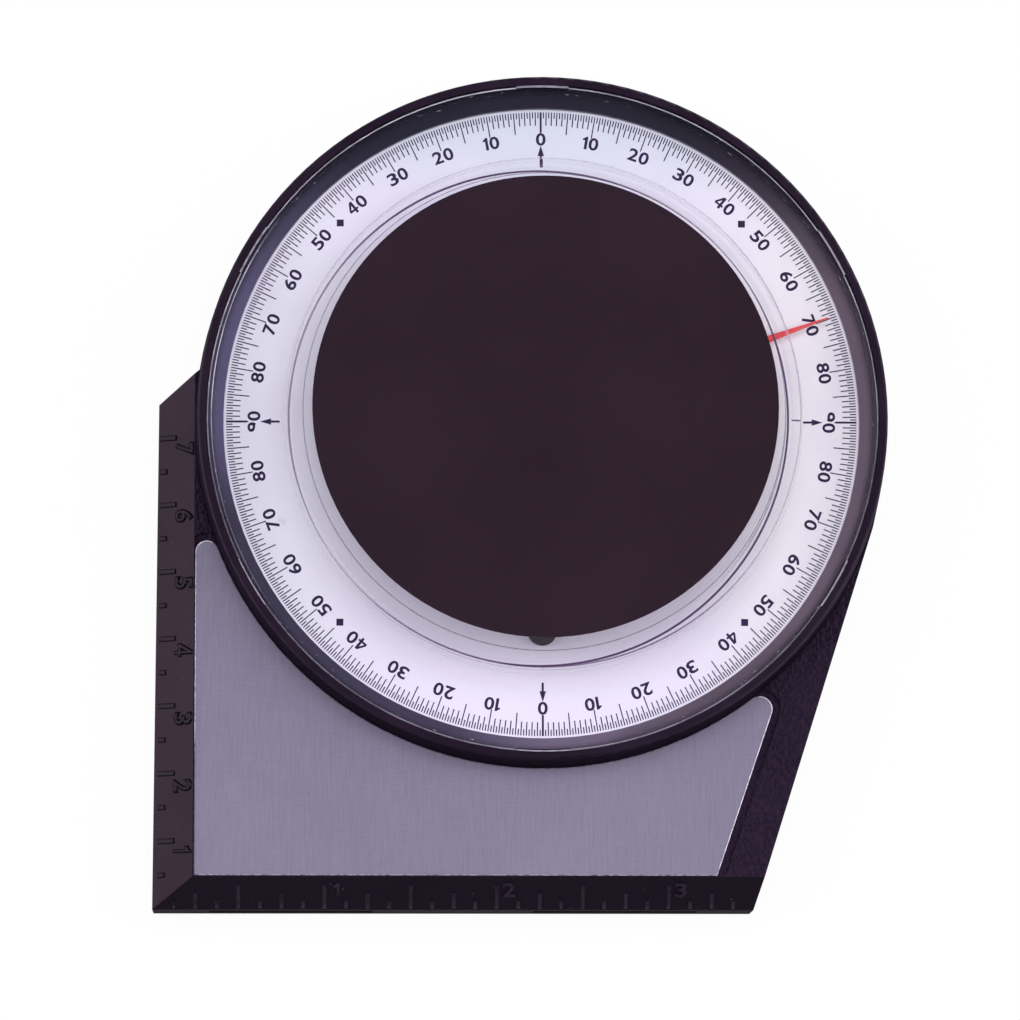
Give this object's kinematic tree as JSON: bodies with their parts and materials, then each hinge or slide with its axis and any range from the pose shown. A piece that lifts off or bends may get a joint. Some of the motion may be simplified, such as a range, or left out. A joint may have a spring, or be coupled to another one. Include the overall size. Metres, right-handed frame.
{
  "type": "angle finder",
  "caption": "Dial angle finder with a weighted red pointer under a clear drum lens, bevelled ruler edges and a magnetic base, for reading the slope of a surface.",
  "frame": {"origin": "where the dial's axis meets the flat back of the case", "axes": "+Z along the dial's axis, out of the dial's face; +Y towards the dial's top zero, away from the magnetic base; +X to the right when the dial is read upright"},
  "size_m": [0.1089, 0.1237, 0.0286],
  "materials": {
    "black_case": "fine-grained satin black moulding",
    "black_cover": "fine-grained satin black moulding",
    "screw_steel": "zinc-plated steel",
    "ferrite": "dull sintered ferrite",
    "pole_steel": "bare rolled steel",
    "silver_plate": "fine-brushed aluminium foil",
    "dial_white": "printed white, satin",
    "retainer_black": "satin dark grey moulding",
    "clear_plastic": "clear moulded acrylic, polished",
    "cap_black": "printed black, satin gloss",
    "brass": "turned brass",
    "washer_plastic": "white low-friction plastic",
    "arbor_steel": "polished hardened steel",
    "needle_red": "red enamel on aluminium strip",
    "arm_steel": "stamped steel",
    "weight_metal": "die-cast grey metal"
  },
  "bodies": {
    "case": {"front_housing": "black_case", "back_cover": "black_cover", "cover_screws": "screw_steel", "base_magnets": "ferrite", "pole_plates": "pole_steel", "panel_plate": "silver_plate", "dial_plate": "dial_white", "dial_screws": "screw_steel", "dial_retaining_ring": "retainer_black", "lens": "clear_plastic", "centre_cap": "cap_black", "rear_bearing": "brass", "front_bearing": "brass", "thrust_washers": "washer_plastic"},
    "pointer": {"pivot_arbor": "arbor_steel", "pointer_hub": "brass", "pointer_needle": "needle_red", "needle_spacer": "brass", "pendulum_arm": "arm_steel", "hub_collar": "brass", "pendulum_weight": "weight_metal", "weight_rivets": "screw_steel"}
  },
  "joints": [
    {"name": "pointer_swing", "type": "hinge", "parent": "case", "child": "pointer", "pos_m": [0, 0, 0.015], "axis": [0, 0, 1], "continuous": true}
  ]
}
